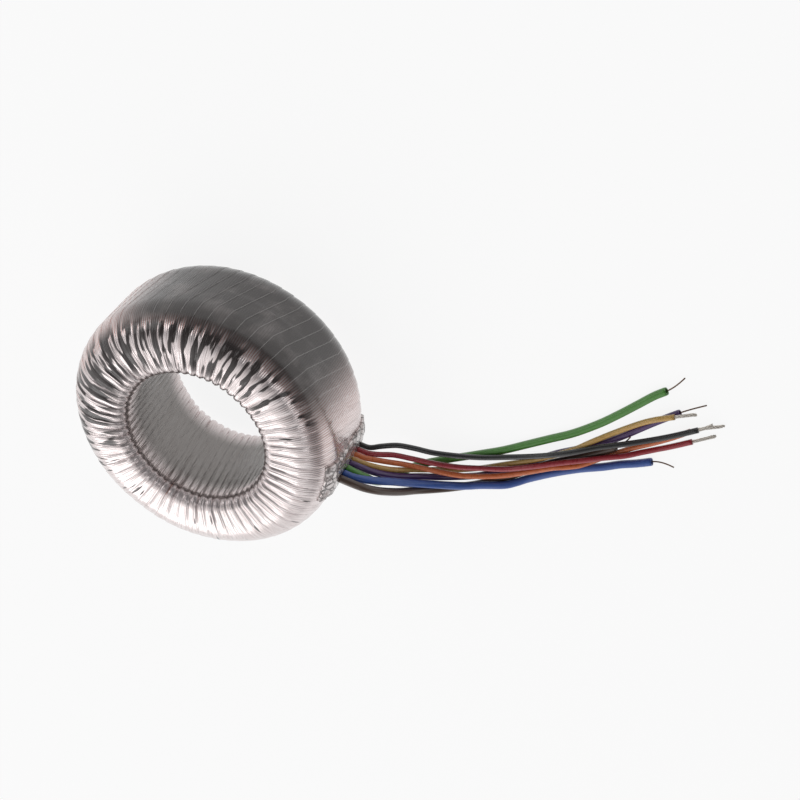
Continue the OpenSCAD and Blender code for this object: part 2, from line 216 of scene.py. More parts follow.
def smooth_path(route, radius, steps=8):
    """Catmull-Rom curve through the route's points, kept at least a radius above the floor."""
    points = np.array(route)
    ends = 2 * points[[0, -1]] - points[[1, -2]]
    p = np.vstack([ends[:1], points, ends[1:]])
    t = np.linspace(0, 1, steps, endpoint=False)[None, :, None]
    a, b, c, d = (p[i:len(p) - 3 + i, None] for i in range(4))
    curve = 0.5 * (2 * b + (c - a) * t + (2 * a - 5 * b + 4 * c - d) * t**2 + (3 * b - a - 3 * c + d) * t**3)
    curve = np.vstack([curve.reshape(-1, 3), points[-1:]])
    curve[:, 2] = np.maximum(curve[:, 2], FLOOR + radius)
    return curve


def path_length(path):
    """The sum of the distances between neighbouring points."""
    return float(np.linalg.norm(np.diff(path, axis=0), axis=1).sum())


# %% A section carried along a path
def path_frame(path):
    """Unit tangent, side and up at each point, where side is level and up = tangent x side."""
    tangent = np.gradient(path, axis=0)
    tangent /= np.linalg.norm(tangent, axis=1, keepdims=True)
    side = np.cross([0.0, 0.0, 1.0], tangent)
    side /= np.linalg.norm(side, axis=1, keepdims=True)
    return tangent, side, np.cross(tangent, side)


def tube_arrays(path, radius, sides, folded=None):
    """Corners, quads, end caps and map of a tube: a ring of the given radius at each point.

    The map is (metres along, turns round). From the row folded on, the tube runs back inside
    itself and keeps the directions of the way out.
    """
    _, side, up = path_frame(path if folded is None else path[:folded])
    if folded is not None:
        back = np.abs(path[folded:, None] - path[None, :folded]).sum(-1).argmin(1)
        side = np.vstack([side, side[back]])
        up = np.vstack([up, up[back]])
    angle = 2 * np.pi * np.arange(sides) / sides
    radius = np.broadcast_to(radius, len(path))[:, None, None]
    ring = np.cos(angle)[None, :, None] * side[:, None] + np.sin(angle)[None, :, None] * up[:, None]
    along = np.concatenate([[0], np.cumsum(np.linalg.norm(np.diff(path, axis=0), axis=1))])
    quads, row, col = grid_quads(len(path), sides)
    caps = [np.arange(sides)[::-1], (len(path) - 1) * sides + np.arange(sides)]
    points = (path[:, None] + radius * ring).reshape(-1, 3)
    return points, quads, caps, np.stack([along[row], col / sides], -1)


def tube(name, path, radius, sides=20, folded=None):
    """A closed tube along the path, as one piece."""
    points, quads, caps, uv = tube_arrays(path, radius, sides, folded)
    return mesh_piece(name, points, quads, caps, uv)


# %% [markdown]
# Materials are built from nodes. A few helpers keep them short: one adds a node and fills its
# inputs, one does sums, and one eases a value between two limits. Effects that several
# materials share, such as grain and the turns of wire, are node groups, each made once.

# %% Node helpers
def add(tree, kind, setup=None, **inputs):
    """A node of that kind. Inputs are given by name, as values or as sockets to link."""
    node = tree.nodes.new("ShaderNode" + kind)
    for key, value in (setup or {}).items():
        setattr(node, key, value)
    for key, value in inputs.items():
        socket = node.inputs[int(key[1:])] if key[1:].isdigit() else node.inputs[key.replace("_", " ")]
        if isinstance(value, bpy.types.NodeSocket):
            tree.links.new(value, socket)
        else:
            socket.default_value = value
    return node


def sums(tree, operation, a, b=0.0):
    """A Math node's result."""
    return add(tree, "Math", {"operation": operation}, i0=a, i1=b).outputs[0]


def ease(tree, value, low, high):
    """0 below low, 1 above high and a smooth step between. low may be the larger one."""
    setup = {"interpolation_type": "SMOOTHSTEP"}
    return add(tree, "MapRange", setup, Value=value, From_Min=low, From_Max=high).outputs[0]


def blend(tree, amount, a, b):
    """Colour a where amount is 0, and b where it is 1."""
    return add(tree, "Mix", {"data_type": "RGBA"}, i0=amount, i6=a, i7=b).outputs[2]


def noise(tree, where, scale, detail=2.0):
    """Noise of about 0 to 1 with its middle near 0.5."""
    return add(tree, "TexNoise", Vector=where, Scale=scale, Detail=detail).outputs["Fac"]


def stretched(tree, where, x, y, z):
    """The place where, scaled along its axes."""
    return add(tree, "Mapping", Vector=where, Scale=(x, y, z)).outputs[0]


def from_axis(tree, place):
    """How far a place is from the ring's axis: its length once its height is made 0."""
    flat = stretched(tree, place, 1.0, 1.0, 0.0)
    return add(tree, "VectorMath", {"operation": "LENGTH"}, i0=flat).outputs["Value"]


def new_group(name, inputs, outputs):
    """An empty node group, its input sockets and its output node. Sockets are (kind, name)."""
    tree = bpy.data.node_groups.new(name, "ShaderNodeTree")
    for side, sockets in (("INPUT", inputs), ("OUTPUT", outputs)):
        for kind, label in sockets:
            tree.interface.new_socket(label, in_out=side, socket_type="NodeSocket" + kind)
    return tree, tree.nodes.new("NodeGroupInput").outputs, tree.nodes.new("NodeGroupOutput").inputs


def place_group(tree, group, **inputs):
    """A group's node in a material, with its own values."""
    return add(tree, "Group", {"node_tree": group}, **inputs).outputs


def new_material(name, **constants):
    """A material and its Principled shader, with the constants on the shader's own sockets."""
    material = bpy.data.materials.new(name)
    material.use_nodes = True
    shader = material.node_tree.nodes["Principled BSDF"]
    for key, value in constants.items():
        shader.inputs[key.replace("_", " ")].default_value = value
    return material, material.node_tree, shader


def feed(tree, shader, height=None, distance=0.0001, **sources):
    """Links colours and values to the shader, and a height through a Bump node in metres."""
    for key, source in sources.items():
        tree.links.new(source, shader.inputs[key.replace("_", " ")])
    if height is not None:
        bump = add(tree, "Bump", Height=height, Distance=distance, Strength=1.0)
        tree.links.new(bump.outputs[0], shader.inputs["Normal"])


# %% Shared group: grain
def grain_group():
    """Fine mottling: a colour a little lighter and darker, a roughness, and a height."""
    tree, given, out = new_group("grain", [("Vector", "Place"), ("Float", "Scale"), ("Color", "Colour"),
                                           ("Float", "Contrast"), ("Float", "Roughness")],
                                 [("Color", "Colour"), ("Float", "Roughness"), ("Float", "Height")])
    mottle = noise(tree, given["Place"], given["Scale"], 4.0)
    shade = sums(tree, "MULTIPLY", sums(tree, "SUBTRACT", mottle, 0.5), given["Contrast"])
    lighter = add(tree, "HueSaturation", Color=given["Colour"], Value=sums(tree, "ADD", shade, 1.0))
    tree.links.new(lighter.outputs[0], out["Colour"])
    rougher = sums(tree, "ADD", given["Roughness"], sums(tree, "MULTIPLY", shade, 0.3))
    tree.links.new(rougher, out["Roughness"])
    tree.links.new(mottle, out["Height"])
    return tree


GRAIN = grain_group()


# %% Shared group: turns of wire round the ring
def wire_turns_group():
    """Round wires side by side, counted round the ring: a height, and a mask for painted shade in the
    grooves.
    """
    tree, given, out = new_group("wire_turns", [("Vector", "Place"), ("Float", "Count")],
                                 [("Float", "Height"), ("Float", "GrooveShade")])
    place = add(tree, "SeparateXYZ", Vector=given["Place"]).outputs
    angle = sums(tree, "ARCTAN2", place["Y"], place["X"])
    turn = sums(tree, "MULTIPLY", angle, sums(tree, "DIVIDE", given["Count"], 2 * math.pi))
    across = sums(tree, "ABSOLUTE", sums(tree, "SINE", sums(tree, "MULTIPLY", turn, math.pi)))
    tree.links.new(across, out["Height"])
    tree.links.new(ease(tree, across, 0.55, 0.0), out["GrooveShade"])
    return tree


WIRE_TURNS = wire_turns_group()
print("node groups:", [group.name for group in bpy.data.node_groups])

# %% [markdown]
# Insulation is plastic with a soft satin shine. Each colour keeps one material, with mottling
# so fine that it only breaks up the reflection. The sleeving and the PVC differ in roughness.

# %% Material of the insulation
def insulation(name, colour, roughness):
    """Coloured plastic under a thin clear shine."""
    material, tree, shader = new_material(name, IOR=1.5, Coat_Weight=0.35, Coat_Roughness=0.1)
    place = add(tree, "TexCoord").outputs["Object"]
    skin = place_group(tree, GRAIN, Place=place, Scale=900.0, Colour=(*colour, 1.0), Contrast=0.35,
                       Roughness=roughness)
    feed(tree, shader, skin["Height"], 0.00003, Base_Color=skin["Colour"], Roughness=skin["Roughness"])
    return material


# %% Materials of the bare ends
def bare_metal(name, colour, roughness):
    """Metal with a fine grain."""
    material, tree, shader = new_material(name, Metallic=1.0)
    place = add(tree, "TexCoord").outputs["Object"]
    skin = place_group(tree, GRAIN, Place=place, Scale=1500.0, Colour=(*colour, 1.0), Contrast=0.6,
                       Roughness=roughness)
    feed(tree, shader, skin["Height"], 0.00002, Base_Color=skin["Colour"], Roughness=skin["Roughness"])
    return material


TINNED = bare_metal("tinned_strands", (0.62, 0.58, 0.53), 0.35)
WINDING_WIRE = bare_metal("winding_wire", (0.17, 0.11, 0.08), 0.35)


# %% A stranded lead and its twisted end
LEAD_R = 0.8 * MM
STRAND_R = 0.16 * MM
STRAND_LAY = 6 * MM


def tail_path(route, tip, steps=24):
    """From the lead's end straight on, then bending to the tip: a curve drawn by three handles."""
    end = np.array(route[-1])
    way = end - np.array(route[-2])
    handle = end + 2.5 * MM * way / np.linalg.norm(way)
    t = np.linspace(0, 1, steps)[:, None]
    return (1 - t) ** 2 * end + 2 * t * (1 - t) * handle + t**2 * np.array(tip)


def twisted_strands(name, path):
    """Seven strands: one runs along the path, and six turn round it and spread at the tip."""
    _, side, up = path_frame(path)
    along = np.concatenate([[0], np.cumsum(np.linalg.norm(np.diff(path, axis=0), axis=1))])
    strands = []
    for k in range(7):
        turn = 2 * np.pi * (along / STRAND_LAY + k / 6)
        spread = 0 if k == 6 else STRAND_R * 1.9 * (1 + 0.5 * (along / along[-1]) ** 3 * lattice(k, 9))
        offset = np.cos(turn)[:, None] * side + np.sin(turn)[:, None] * up
        line = path + np.reshape(spread, (-1, 1)) * offset
        line[:, 2] = np.maximum(line[:, 2], STRAND_R * 1.05)
        strands.append(line[:len(line) - int(4 * lattice(k, 4))])
    return joined_tubes(name, strands, STRAND_R, 8)


def joined_tubes(name, paths, radius, sides):
    """Several closed tubes in one mesh: each one's corners are numbered after the last one's."""
    points = []
    quads = []
    caps = []
    uv = []
    start = 0
    for path in paths:
        ring, square, ends, flat = tube_arrays(path, radius, sides)
        points.append(ring)
        quads.append(square + start)
        caps += [end + start for end in ends]
        uv.append(flat)
        start += len(ring)
    return mesh_piece(name, np.vstack(points), np.vstack(quads), caps, np.concatenate(uv))


# %% Make the four stranded leads
STRANDED = {
    "black": (BLACK_ROUTE, BLACK_TIP, (0.020, 0.020, 0.021)),
    "red": (RED_ROUTE, RED_TIP, (0.36, 0.022, 0.035)),
    "orange": (ORANGE_ROUTE, ORANGE_TIP, (0.66, 0.16, 0.045)),
    "yellow": (YELLOW_ROUTE, YELLOW_TIP, (0.60, 0.36, 0.10)),
}


def dress_lead(colour, path, node, material, tail, tail_node):
    for piece, replaced in ((tail, tail_node), (node[1], node[0])):
        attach(piece, "root")
        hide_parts(replaced)
    node[1].data.materials.append(material)
    print(colour, "lead:", round(path_length(path), 4), "m")


for colour, (route, tip, paint) in STRANDED.items():
    path = smooth_path(route, LEAD_R)
    lead = tube(colour + "_lead_skin", path, LEAD_R)
    tail = twisted_strands(colour + "_conductor_strands", tail_path(route, tip))
    tail.data.materials.append(TINNED)
    finish = insulation(colour + "_insulation", paint, 0.28)
    dress_lead(colour, path, (colour + "_lead", lead), finish,
               tail, colour + "_conductor")

# %% A sleeve with an open mouth
SLEEVE_WALL = 0.3 * MM
MOUTH_DEPTH = 5 * MM
WIRE_R = 0.2 * MM


def sleeve(name, path, radius, sides=24):
    """Out along the skin, over the rounded lip and back down the bore to a closed floor."""
    along = np.concatenate([[0], np.cumsum(np.linalg.norm(np.diff(path, axis=0), axis=1))])
    back = np.linspace(along[-1], along[-1] - MOUTH_DEPTH, 10)
    inner = np.stack([np.interp(back, along, path[:, k]) for k in range(3)], -1)
    inner_r = np.full(len(inner), radius - SLEEVE_WALL)
    outer_r = np.full(len(path), radius)
    outer_r[-1] = radius - 0.3 * SLEEVE_WALL
    return tube(name, np.vstack([path, inner]), np.concatenate([outer_r, inner_r]), sides, folded=len(path))


# %% Make the four sleeves
SLEEVES = {
    "purple": (PURPLE_ROUTE, PURPLE_TIP, 1.0 * MM, (0.085, 0.035, 0.15)),
    "green": (GREEN_ROUTE, GREEN_TIP, 1.15 * MM, (0.075, 0.27, 0.035)),
    "blue": (BLUE_ROUTE, BLUE_TIP, 1.15 * MM, (0.035, 0.10, 0.38)),
    "brown": (BROWN_ROUTE, BROWN_TIP, 1.15 * MM, (0.075, 0.042, 0.028)),
}

for colour, (route, tip, radius, paint) in SLEEVES.items():
    path = smooth_path(route, radius)
    lead = sleeve(colour + "_sleeve_skin", path, radius)
    tail = joined_tubes(colour + "_winding_wire", [tail_path(route, tip)], WIRE_R, 12)
    tail.data.materials.append(WINDING_WIRE)
    finish = insulation(colour + "_insulation", paint, 0.32)
    dress_lead(colour, path, (colour + "_sleeve", lead), finish,
               tail, colour + "_wire")

# %% [markdown]
# The film wrap is one strip of clear polyester, wound round the ring like a bandage. Its turns
# lap on the rim like shingles. Towards the hole there is less room for them, so they gather into
# pleats. Cloth simulation would need thousands of layers here. Instead the wrap is one closed
# sheet: a rounded section goes round the ring, and a height pushes each point in or out.

# %% Sizes of the wrap
_, film_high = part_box("film_wrap")
RIM_R = film_high[0]
HALF_H = film_high[2] / 2
BORE_R = 20.54 * MM
SHOULDER_R = 10.5 * MM
ROLL_R = 4 * MM
TURNS = 60
FACE_W = RIM_R - SHOULDER_R - BORE_R - ROLL_R
print("ring: radius", round(RIM_R, 4), "height", round(2 * HALF_H, 4))

# %% The section of the ring
RIM_L = HALF_H - SHOULDER_R
HOLE_L = 2 * (HALF_H - ROLL_R)
STAGE_LENGTHS = np.array([RIM_L, SHOULDER_R * np.pi / 2, FACE_W, ROLL_R * np.pi / 2, HOLE_L,
                          ROLL_R * np.pi / 2, FACE_W, SHOULDER_R * np.pi / 2, RIM_L])
STAGE_ENDS = np.concatenate([[0], np.cumsum(STAGE_LENGTHS)]) / STAGE_LENGTHS.sum()
STAGE_TURNS = np.radians([0, 0, 90, 90, 180, 180, 270, 270, 360, 360])


def ring_section(s):
    """Radius, height and direction of the outward normal at the fraction s of the section.

    s starts at the middle of the rim and goes over the top face, down the hole and back below.
    The normal turns evenly in each rounded corner, and the point is the sum of steps along
    the tangent, which is the normal turned by a quarter.
    """
    fine = np.linspace(0, 1, 8001)
    way = np.interp((fine[1:] + fine[:-1]) / 2, STAGE_ENDS, STAGE_TURNS)
    step = STAGE_LENGTHS.sum() / 8000
    radius = RIM_R + np.concatenate([[0], np.cumsum(-np.sin(way) * step)])
    height = HALF_H + np.concatenate([[0], np.cumsum(np.cos(way) * step)])
    return np.interp(s, fine, radius), np.interp(s, fine, height), np.interp(s, STAGE_ENDS, STAGE_TURNS)


# %% Laps and pleats
LEAN = np.array([0, 0.59, 1.04, 1.05, 1.05, -0.05, -0.05, -0.04, 0.41, 1.0])
LAP = 0.16 * MM
PLEAT = 0.85 * MM
PLEAT_END = 6 * MM


def strip_place(angle, s):
    """Number of strips from angle 0, less the strip's lean. It drops by one on a trip round."""
    return TURNS * angle / (2 * np.pi) - np.interp(s, STAGE_ENDS, LEAN)


def film_height(angle, s):
    """How far out the film stands, in metres: below zero for laps, pleats, creases and slack."""
    radius, height, _ = ring_section(s)
    place = strip_place(angle, s)
    turn = np.floor(place)
    t = place - turn
    own = np.mod(turn, TURNS) + s
    gather = np.clip((RIM_R - radius) / (RIM_R - BORE_R), 0, 1)
    below_roll = HALF_H - ROLL_R - np.abs(height - HALF_H)
    in_hole = np.clip(below_roll / PLEAT_END, 0, 1) * (radius < (RIM_R + BORE_R) / 2)
    t = t + 0.12 * np.sin(2 * np.pi * t) * (drift(own, 3) - 0.3)
    ridge = np.sin(np.pi * np.clip(t, 0, 1)) ** 0.7
    depth = PLEAT * gather ** 1.3 * (0.45 + 0.8 * drift(own, 1)) * (0.6 + 0.8 * bumps(place, 9 * s, TURNS, 2))
    lap = LAP * (0.5 + drift(own, 5)) * t
    crease = np.abs(np.sin(np.pi * (3 * place + 1.5 * drift(own, 7))))
    crease = 0.13 * MM * gather * (1 - crease) * (0.3 + bumps(place, 23 * s, TURNS, 8))
    slack = 0.12 * MM * bumps(0.25 * place, 7 * s, TURNS / 4, 4)
    return -(1 - 0.75 * in_hole) * depth * (1 - ridge) - lap - crease - slack


# %% The film wrap
FILM_COLS = 920
FILM_ROWS = [10, 18, 8, 12, 12, 12, 8, 18, 10]


def film_wrap():
    """The closed sheet. Its map holds (strips round the ring, fraction of the section)."""
    share = np.concatenate([[0], np.cumsum(FILM_ROWS)]) / sum(FILM_ROWS)
    rows = sum(FILM_ROWS)
    s = np.interp(np.arange(rows + 1) / rows, share, STAGE_ENDS)
    angle = 2 * np.pi * np.arange(FILM_COLS + 1) / FILM_COLS
    s_all, angle_all = np.meshgrid(s, angle, indexing="ij")
    radius, height, way = ring_section(s_all)
    out = film_height(angle_all, s_all)
    radius = radius + out * np.cos(way)
    height = height + out * np.sin(way)
    points = np.stack([radius * np.cos(angle_all), radius * np.sin(angle_all), height], -1)
    quads, row, col = grid_quads(rows, FILM_COLS, wrap_rows=True)
    uv = np.stack([strip_place(angle[col], s[row]), s[row]], -1)
    return mesh_piece("film_wrap_skin", points[:-1, :-1].reshape(-1, 3), quads, uv=uv)


wrap = film_wrap()
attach(wrap, "root")
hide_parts("film_wrap")
print("film wrap:", len(wrap.data.polygons), "quads")

# %% [markdown]
# The exit tape is a crumpled patch over the ends of the windings. It is thin at its edges and
# rises to a flat outlet, where the eight leads come out. A grid over the rim carries folds of
# ridged noise, and a second grid behind it closes the patch.

# %% Exit tape
TAPE_LOW, TAPE_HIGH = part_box("lead_exit_tape")
OUTLET_X = TAPE_HIGH[0]
OUTLET_W = 5.4 * MM
OUTLET_H = 19 * MM
TAPE_COLS = 90
TAPE_ROWS = 160


def exit_tape():
    """Front and back over the rim: how far out it stands is an edge, a rise to the outlet and folds."""
    y = np.linspace(TAPE_LOW[1], TAPE_HIGH[1], TAPE_COLS)
    z = np.linspace(TAPE_LOW[2], TAPE_HIGH[2], TAPE_ROWS)
    z_all, y_all = np.meshgrid(z, y, indexing="ij")
    above = np.clip(np.abs(z_all - HALF_H) - RIM_L, 0, None)
    rim = RIM_R - SHOULDER_R + np.sqrt(SHOULDER_R**2 - above**2)
    half_w = (TAPE_HIGH[1] - TAPE_LOW[1]) / 2
    half_h = (TAPE_HIGH[2] - TAPE_LOW[2]) / 2
    beside = np.clip((half_w - np.abs(y_all)) / (half_w - OUTLET_W / 2), 0, 1)
    beyond = np.clip((half_h - np.abs(z_all - HALF_H)) / (half_h - OUTLET_H / 2), 0, 1)
    rise = np.minimum(beside, beyond)
    rise = rise * rise * (3 - 2 * rise)
    fold = 1 - np.abs(2 * bumps(y_all / (1.3 * MM) + z_all / (3 * MM), z_all / (1.7 * MM), 1000, 11) - 1)
    wrinkle = 1 - np.abs(2 * bumps(y_all / (0.6 * MM), z_all / (0.7 * MM), 1000, 12) - 1)
    out = 0.2 * MM + 0.55 * MM * fold * (1 - rise) + 0.15 * MM * wrinkle * (1 - rise)
    x = np.sqrt((rim + out) ** 2 - y_all**2)
    x = np.minimum(x * (1 - rise) + (OUTLET_X - 0.1 * MM * wrinkle) * rise, OUTLET_X)
    front = np.stack([x, y_all, z_all], -1)
    back = np.stack([np.sqrt((rim - 0.3 * MM) ** 2 - y_all**2), y_all, z_all], -1)
    points = np.concatenate([front, back[:, ::-1]], axis=1).reshape(-1, 3)
    quads, row, col = grid_quads(TAPE_ROWS, 2 * TAPE_COLS)
    caps = [np.arange(2 * TAPE_COLS)[::-1], (TAPE_ROWS - 1) * 2 * TAPE_COLS + np.arange(2 * TAPE_COLS)]
    return mesh_piece("exit_tape_patch", points, quads, caps, np.stack([col, row], -1) / TAPE_ROWS)


tape = exit_tape()
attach(tape, "root")
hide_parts("lead_exit_tape")
print("exit tape:", len(tape.data.polygons), "faces")

# %% [markdown]
# The wrap's finish is what makes it look real. One layer of clear film is hardly seen, so the
# rim shows dark enamelled copper under a gloss; this dark rim is painted only on the side of the
# ring away from the key lamp, so the copper is real but its darkness there is painted shade. Many
# layers turn silvery, with a pink tint from the copper below, so the gathered faces are almost a
# mirror. Between them lie painted dark reflections: streaks painted near black, mostly on the side
# away from the key lamp. The inside of the hole is painted grey as painted shade. The map's first
# number counts strips, so noise that is narrow along it and long along the section makes streaks
# that run from the hole to the rim.

# %% Masks of the film
WIRES = 352
RIM_SHADED_WAY = math.radians(84)
DARK_REFLECTION_WAY = math.radians(135)
ROSE_WAY = math.radians(100)


def film_masks(tree):
    """The strip map, its count of strips, height, place, angle round the ring and radius."""
    strip = add(tree, "UVMap", {"uv_map": "map"}).outputs[0]
    parts = add(tree, "SeparateXYZ", Vector=strip).outputs
    place = add(tree, "TexCoord").outputs["Object"]
    world = add(tree, "SeparateXYZ", Vector=place).outputs
    angle = sums(tree, "ARCTAN2", world["Y"], world["X"])
    return strip, parts["X"], world["Z"], place, angle, from_axis(tree, place)


def facing(tree, angle, middle, inner, outer):
    """1 within inner of the middle angle round the ring and 0 beyond outer, all in radians."""
    off = sums(tree, "COSINE", sums(tree, "SUBTRACT", angle, middle))
    return ease(tree, off, math.cos(outer), math.cos(inner))


# %% Film material
SILVER = (0.80, 0.725, 0.72, 1.0)
ROSE = (0.46, 0.17, 0.12, 1.0)
# Near black, for painted dark reflections and painted shade.
PAINTED_DARK_SHADE = (0.030, 0.020, 0.019, 1.0)
GREY_FILM = (0.30, 0.285, 0.28, 1.0)
DULL_SILVER = (0.62, 0.53, 0.52, 1.0)
# Dark grey for painted shade inside the hole.
HOLE_PAINTED_SHADE = (0.085, 0.085, 0.076, 1.0)
RIM_BLACK = (0.030, 0.023, 0.021, 1.0)
RIM_BROWN = (0.15, 0.13, 0.125, 1.0)


def film_material():
    """Clear film over copper: silvery where it is gathered, with painted shade on one side of the rim,
    painted dark reflections as streaks on the face, and painted shade in the hole.
    """
    material, tree, shader = new_material("clear_film_over_copper", IOR=1.6, Coat_Weight=0.4,
                                          Coat_Roughness=0.06, Coat_IOR=1.6)
    strip, strips, height_up, place, angle, radius = film_masks(tree)
    on_rim = ease(tree, radius, RIM_R - 0.42 * SHOULDER_R, RIM_R - 0.12 * SHOULDER_R)
    level = sums(tree, "ABSOLUTE", sums(tree, "SUBTRACT", height_up, HALF_H))
    in_hole = sums(tree, "MULTIPLY", ease(tree, radius, BORE_R + 0.6 * ROLL_R, BORE_R + 0.3 * ROLL_R),
                   ease(tree, level, HALF_H - 0.5 * ROLL_R, HALF_H - ROLL_R - PLEAT_END))
    mid_face = sums(tree, "MULTIPLY", ease(tree, radius, BORE_R + 0.2 * ROLL_R, BORE_R + 1.6 * ROLL_R),
                    ease(tree, radius, RIM_R - 0.02 * SHOULDER_R, RIM_R - 0.4 * SHOULDER_R))

    # Painted dark reflections: near-black streaks across the face, most of them on the side of the ring away
    # from the key lamp.
    streaky = noise(tree, stretched(tree, strip, 1.9, 10.0, 1.0), 1.0, 1.5)
    fine = noise(tree, stretched(tree, strip, 9.0, 12.0, 1.0), 1.0, 3.0)
    dark_reflection_side = facing(tree, angle, DARK_REFLECTION_WAY, math.radians(45), math.radians(125))
    limit = add(tree, "MapRange", Value=dark_reflection_side, To_Min=0.68, To_Max=0.47).outputs[0]
    painted_dark_reflection = ease(tree, sums(tree, "SUBTRACT", streaky, limit), -0.01, 0.035)
    painted_dark_reflection = sums(tree, "MULTIPLY", painted_dark_reflection, mid_face)

    wires = place_group(tree, WIRE_TURNS, Place=place, Count=float(WIRES))
    on_shoulder = ease(tree, radius, RIM_R - 0.55 * SHOULDER_R, RIM_R - 0.3 * SHOULDER_R)
    rose_side = facing(tree, angle, ROSE_WAY, math.radians(50), math.radians(110))
    rose_band = sums(tree, "MULTIPLY", on_shoulder, rose_side)
    rose = sums(tree, "MULTIPLY", rose_band, ease(tree, wires["Height"], 0.75, 0.35))

    # The rim is painted dark on the side away from the key lamp: the copper under the film is real, but its
    # darkness only there is painted shade.
    thin = facing(tree, angle, RIM_SHADED_WAY, math.radians(34), math.radians(64))
    patchy = noise(tree, stretched(tree, strip, 0.45, 9.0, 1.0), 1.0, 3.0)
    rim_painted_shade = sums(tree, "MULTIPLY", on_rim, thin)
    edge = ease(tree, sums(tree, "FRACT", strips), 0.07, 0.02)

    colour = blend(tree, ease(tree, fine, 0.35, 0.75), SILVER, DULL_SILVER)
    colour = blend(tree, sums(tree, "MULTIPLY", rose, 0.8), colour, ROSE)
    colour = blend(tree, painted_dark_reflection, colour, PAINTED_DARK_SHADE)
    rim_colour = blend(tree, ease(tree, patchy, 0.46, 0.72), RIM_BLACK, RIM_BROWN)
    # Painted shade darkens the grooves between the wires under the rim's film.
    rim_colour = blend(tree, sums(tree, "MULTIPLY", wires["GrooveShade"], 0.6), rim_colour, PAINTED_DARK_SHADE)
    rim_colour = blend(tree, sums(tree, "MULTIPLY", edge, 0.6), rim_colour, GREY_FILM)
    colour = blend(tree, rim_painted_shade, colour, rim_colour)
    # Painted shade: the inside of the hole is painted dark grey.
    colour = blend(tree, sums(tree, "MULTIPLY", in_hole, 0.8), colour, HOLE_PAINTED_SHADE)
    dull = sums(tree, "MAXIMUM", painted_dark_reflection, rim_painted_shade)
    metal = add(tree, "MapRange", Value=dull, To_Min=0.92, To_Max=0.25).outputs[0]
    rough = add(tree, "MapRange", Value=fine, To_Min=0.14, To_Max=0.34).outputs[0]
    turns = sums(tree, "MULTIPLY", wires["Height"], 0.35)
    height = sums(tree, "ADD", sums(tree, "MULTIPLY", fine, 0.6), turns)
    feed(tree, shader, height, 0.00012, Base_Color=colour, Metallic=metal, Roughness=rough)
    return material


wrap.data.materials.append(film_material())

# %% Tape material
def tape_material():
    """Cloudy crumpled film: pale, with painted shade darkening its creases."""
    material, tree, shader = new_material("crumpled_tape", IOR=1.5, Coat_Weight=0.8, Coat_Roughness=0.05)
    place = add(tree, "TexCoord").outputs["Object"]
    warp = noise(tree, place, 350.0, 3.0)
    edges = add(tree, "TexVoronoi", {"feature": "DISTANCE_TO_EDGE"}, Vector=place, Scale=420.0)
    cells = edges.outputs["Distance"]
    crease = ease(tree, sums(tree, "ADD", cells, sums(tree, "MULTIPLY", warp, 0.2)), 0.22, 0.08)
    colour = blend(tree, ease(tree, warp, 0.4, 0.62), (0.74, 0.68, 0.67, 1.0), (0.42, 0.36, 0.35, 1.0))
    # Painted shade darkens the creases of the tape.
    colour = blend(tree, sums(tree, "MULTIPLY", crease, 0.7), colour, (0.10, 0.085, 0.08, 1.0))
    metal = add(tree, "MapRange", Value=crease, To_Min=0.55, To_Max=0.1).outputs[0]
    rough = add(tree, "MapRange", Value=warp, To_Min=0.12, To_Max=0.35).outputs[0]
    height = sums(tree, "SUBTRACT", warp, crease)
    feed(tree, shader, height, 0.0004, Base_Color=colour, Metallic=metal, Roughness=rough)
    return material


tape.data.materials.append(tape_material())

# %% [markdown]
# The pieces under the film keep their CAD shapes and get finishes of their own: the core shows
# the edges of its coiled steel strip, the padding is crepe paper, each winding is copper wire
# side by side, and the barrier is a clear film that looks yellowish.

# %% Materials of the hidden pieces
def coiled_steel():
    """Steel with a dark line at each layer of the coiled strip."""
    material, tree, shader = new_material("coiled_steel", Metallic=1.0)
    place = add(tree, "TexCoord").outputs["Object"]
    radius = from_axis(tree, place)
    layer = sums(tree, "ABSOLUTE", sums(tree, "SINE", sums(tree, "MULTIPLY", radius, math.pi / (0.3 * MM))))
    colour = blend(tree, ease(tree, layer, 0.4, 0.0), (0.46, 0.47, 0.49, 1.0), (0.16, 0.16, 0.17, 1.0))
    skin = place_group(tree, GRAIN, Place=place, Scale=500.0, Colour=colour, Contrast=0.4, Roughness=0.35)
    feed(tree, shader, layer, 0.00004, Base_Color=skin["Colour"], Roughness=skin["Roughness"])
    return material


def grained(name, colour, roughness, scale, contrast):
    """A plain material with grain."""
    material, tree, shader = new_material(name)
    place = add(tree, "TexCoord").outputs["Object"]
    skin = place_group(tree, GRAIN, Place=place, Scale=scale, Colour=(*colour, 1.0), Contrast=contrast,
                       Roughness=roughness)
    feed(tree, shader, skin["Height"], 0.0001, Base_Color=skin["Colour"], Roughness=skin["Roughness"])
    return material


def wound_copper(name, colour, count):
    """Enamelled wires side by side, count of them round the ring, with painted shade in the grooves."""
    material, tree, shader = new_material(name, Metallic=0.9, Coat_Weight=0.5, Coat_Roughness=0.1)
    place = add(tree, "TexCoord").outputs["Object"]
    wires = place_group(tree, WIRE_TURNS, Place=place, Count=float(count))
    # Painted shade darkens the grooves between the wires.
    shade = blend(tree, wires["GrooveShade"], (*colour, 1.0), (0.08, 0.02, 0.012, 1.0))
    skin = place_group(tree, GRAIN, Place=place, Scale=700.0, Colour=shade, Contrast=0.4, Roughness=0.3)
    feed(tree, shader, wires["Height"], 0.0003, Base_Color=skin["Colour"], Roughness=skin["Roughness"])
    return material


